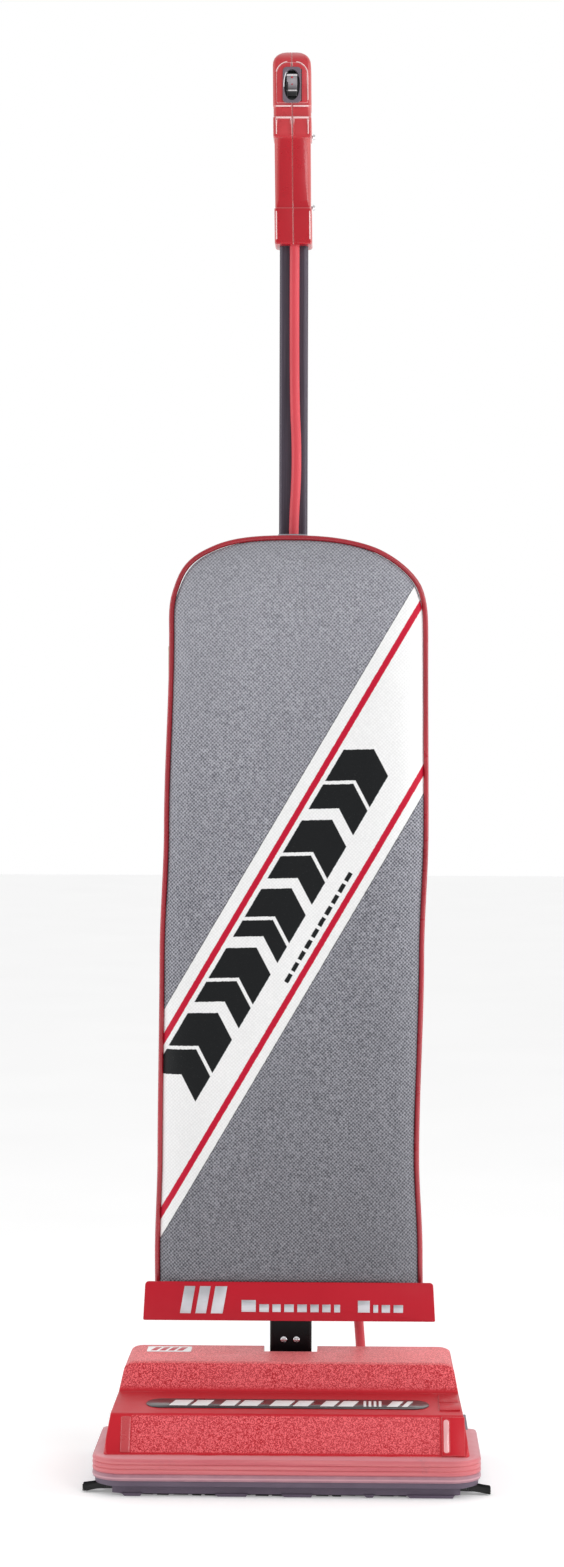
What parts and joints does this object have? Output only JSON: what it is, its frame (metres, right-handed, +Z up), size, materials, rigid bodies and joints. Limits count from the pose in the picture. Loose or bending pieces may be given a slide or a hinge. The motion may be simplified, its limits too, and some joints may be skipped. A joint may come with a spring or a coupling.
{
  "type": "upright vacuum cleaner",
  "caption": "Upright vacuum cleaner: wide red floor head with a bumper and brush roll, reclining tube handle with a switch grip, and a long grey cloth bag.",
  "frame": {"origin": "on the floor under the centre of the whole object", "axes": "+X to the right seen from the front, -Y the front of the floor head, +Z up"},
  "size_m": [0.334, 0.232, 1.211],
  "materials": {
    "red_gloss": "moulded, pebbled panels between smooth ones",
    "chassis_plastic": "fine grain",
    "zinc_steel": "pressed",
    "steel": "turned",
    "bumper_rubber": "soft ribs",
    "label_black": "smooth",
    "label_white": "smooth",
    "bristle": "stiff tufts",
    "roll_wood": "turned beech",
    "black_plastic": "moulded",
    "motor_metal": "grey enamel",
    "grey_plastic": "moulded",
    "black_rubber": "smooth",
    "wheel_plastic": "moulded",
    "tube_paint": "smooth enamel",
    "bag_canvas": "woven canvas",
    "filter_paper": "plain",
    "piping_vinyl": "soft vinyl",
    "zip_cloth": "woven tape",
    "banner_red": "smooth",
    "red_plastic": "satin",
    "rocker_plastic": "smooth",
    "cord_red": "soft jacket"
  },
  "bodies": {
    "head": {"hood": "red_gloss", "chassis_tray": "chassis_plastic", "nozzle_plate": "zinc_steel", "nozzle_screws": "steel", "bumper": "bumper_rubber", "hood_label_strip": "label_black", "hood_badge": "label_white", "edge_brush_left": "bristle", "edge_brush_right": "bristle", "brush_axle": "steel", "brush_end_cap_left": "black_plastic", "brush_end_cap_right": "black_plastic", "motor_case": "motor_metal", "motor_stator": "steel", "fan_housing": "grey_plastic", "fan_outlet_duct": "black_rubber", "drive_belt": "black_rubber", "motor_saddles": "black_rubber", "wheel_axle": "steel", "axle_blocks": "black_plastic", "pivot_pin": "steel", "pivot_cradle": "zinc_steel", "cord_grommet": "black_rubber"},
    "rotor": {"motor_rotor": "steel", "motor_pulley": "steel", "suction_fan": "grey_plastic"},
    "roll": {"brush_roll": "roll_wood", "brush_bristles": "bristle"},
    "wheel_l": {"rear_wheel_left": "wheel_plastic"},
    "wheel_r": {"rear_wheel_right": "wheel_plastic"},
    "rocker": {"switch_rocker": "rocker_plastic"},
    "turning_hook": {"cord_hook_upper": "black_plastic"},
    "zip_pull": {"zip_slider": "steel"},
    "handle": {"bag_base": "black_plastic", "bag_clip": "grey_plastic", "bag_cloth": "bag_canvas", "bag_inlet_collar": "black_rubber", "bag_piping": "piping_vinyl", "bag_tab": "bag_canvas", "banner": "banner_red", "cord_clips": "grey_plastic", "cord_hook_lower": "black_plastic", "grip_left": "red_plastic", "grip_right": "red_plastic", "grip_screws": "steel", "lower_tube": "tube_paint", "mains_gland": "black_rubber", "neck": "black_plastic", "neck_screws": "steel", "paper_bag": "filter_paper", "switch_bezel": "grey_plastic", "switch_body": "black_plastic", "switch_cord_lower": "cord_red", "switch_cord_upper": "cord_red", "tube_bolt": "steel", "tube_sleeve": "steel", "tube_socket": "black_plastic", "upper_tube": "tube_paint", "zip_tape": "zip_cloth"}
  },
  "joints": [
    {"name": "handle_tilt", "type": "hinge", "parent": "head", "child": "handle", "pos_m": [0, 0.078, 0.042], "axis": [-1, 0, 0], "range_deg": [0, 75], "deforming": ["switch_cord_lower"]},
    {"name": "wheel_left_spin", "type": "hinge", "parent": "head", "child": "wheel_l", "pos_m": [-0.122, 0.048, 0.021], "axis": [1, 0, 0], "continuous": true},
    {"name": "wheel_right_spin", "type": "hinge", "parent": "head", "child": "wheel_r", "pos_m": [0.122, 0.048, 0.021], "axis": [1, 0, 0], "continuous": true},
    {"name": "motor_spin", "type": "hinge", "parent": "head", "child": "rotor", "pos_m": [0, 0.008, 0.049], "axis": [1, 0, 0], "continuous": true},
    {"name": "brush_spin", "type": "hinge", "parent": "head", "child": "roll", "pos_m": [0, -0.069, 0.029], "axis": [1, 0, 0], "continuous": true},
    {"name": "switch_press", "type": "hinge", "parent": "handle", "child": "rocker", "pos_m": [0, 0.06555, 1.17958], "axis": [-1, 0, 0], "range_deg": [0, 11.5]},
    {"name": "cord_release", "type": "hinge", "parent": "handle", "child": "turning_hook", "pos_m": [0, 0.09, 0.96], "axis": [0, 1, 0], "range_deg": [0, 180]},
    {"name": "zip_slide", "type": "slide", "parent": "handle", "child": "zip_pull", "axis": [0, 0, -1], "range_m": [0, 0.4]}
  ],
  "couplings": [
    {"joint": "brush_spin", "follows": "motor_spin", "ratio": 0.615}
  ]
}
